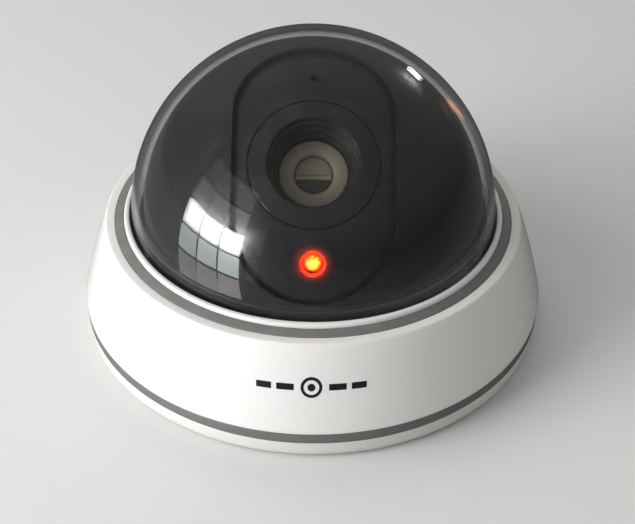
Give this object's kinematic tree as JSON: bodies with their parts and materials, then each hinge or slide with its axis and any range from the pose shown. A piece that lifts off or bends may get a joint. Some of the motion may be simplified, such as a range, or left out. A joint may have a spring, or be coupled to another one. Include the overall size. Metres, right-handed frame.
{
  "type": "dome camera",
  "caption": "Battery dome camera: clear dome over a black liner with a slot, a lens turret that pans and tilts, a red lamp, and a white cover on a mounting plate.",
  "frame": {"origin": "centre of the flat mounting face, which is the underside of the mounting plate", "axes": "+Z from the mounting face to the top of the dome, -Y the way the lens looks at rest, +X to the right seen from the front"},
  "size_m": [0.125, 0.125, 0.0799],
  "materials": {
    "white_plastic": "glossy moulded white",
    "grey_rubber": "satin mid grey",
    "clear_acrylic": "clear polished acrylic",
    "black_rubber": "matt black",
    "light_grey_plastic": "light grey moulded",
    "zinc_screws": "bright zinc",
    "black_screws": "black oxide",
    "cell_sleeve": "glossy printed sleeve, plain",
    "nickel": "nickel plate",
    "green_board": "green solder mask",
    "chip_epoxy": "black epoxy",
    "capacitor_sleeve": "dark blue sleeve",
    "resistor_body": "tan lacquer",
    "black_plastic": "satin black",
    "dark_plastic": "dark grey moulded",
    "liner_black": "satin black moulded",
    "milky_lens": "milky beige translucent",
    "lens_core": "dark olive",
    "red_wire": "red sleeve",
    "black_wire": "black sleeve",
    "grey_wire": "grey twin sleeve",
    "red_lamp": "red epoxy, lit"
  },
  "bodies": {
    "base": {"base_plate": "white_plastic"},
    "gasket": {"lower_trim_ring": "grey_rubber"},
    "housing": {"cover_shell": "white_plastic", "upper_trim_ring": "grey_rubber", "clear_dome": "clear_acrylic", "dome_seal": "black_rubber", "chassis": "light_grey_plastic", "chassis_screws": "zinc_screws", "battery_tray": "light_grey_plastic", "tray_screws": "zinc_screws", "battery_cells": "cell_sleeve", "contact_springs": "nickel", "contact_plates": "nickel", "contact_bridge": "nickel", "flasher_board": "green_board", "flasher_chip": "chip_epoxy", "board_capacitor": "capacitor_sleeve", "board_resistors": "resistor_body", "board_screws": "zinc_screws", "switch_frame": "nickel", "switch_body": "black_plastic", "switch_screws": "zinc_screws", "battery_lead_red": "red_wire", "battery_lead_black": "black_wire", "switch_lead": "red_wire", "lamp_lead_lower": "grey_wire", "pan_washer": "black_rubber", "pan_circlip": "nickel"},
    "switch_slider": {"switch_knob": "white_plastic"},
    "pan_head": {"turntable": "dark_plastic", "yoke_left": "dark_plastic", "yoke_right": "dark_plastic", "yoke_screws": "zinc_screws", "tilt_washers": "black_rubber", "liner": "liner_black", "liner_screws": "black_screws", "lamp_lead_middle": "grey_wire"},
    "tilt_head": {"shutter": "liner_black", "turret": "liner_black", "turret_screws": "zinc_screws", "lens_tube": "black_plastic", "lens_cap": "milky_lens", "lens_pupil": "lens_core", "lamp": "red_lamp", "lamp_bezel": "black_plastic", "lamp_board": "green_board", "lamp_lead_upper": "grey_wire"}
  },
  "joints": [
    {"name": "cover_lift", "type": "slide", "parent": "base", "child": "gasket", "axis": [0, 0, 1], "range_m": [0, 0.06]},
    {"name": "cover_twist", "type": "hinge", "parent": "gasket", "child": "housing", "pos_m": [0, 0, 0.00835], "axis": [0, 0, 1], "range_deg": [0, 15]},
    {"name": "switch_slide", "type": "slide", "parent": "housing", "child": "switch_slider", "axis": [1, 0, 0], "range_m": [0, 0.0032]},
    {"name": "camera_pan", "type": "hinge", "parent": "housing", "child": "pan_head", "pos_m": [0, 0, 0.022], "axis": [0, 0, 1], "range_deg": [-170, 170]},
    {"name": "camera_tilt", "type": "hinge", "parent": "pan_head", "child": "tilt_head", "pos_m": [0, 0, 0.0315], "axis": [-1, 0, 0], "range_deg": [-10, 20]}
  ]
}
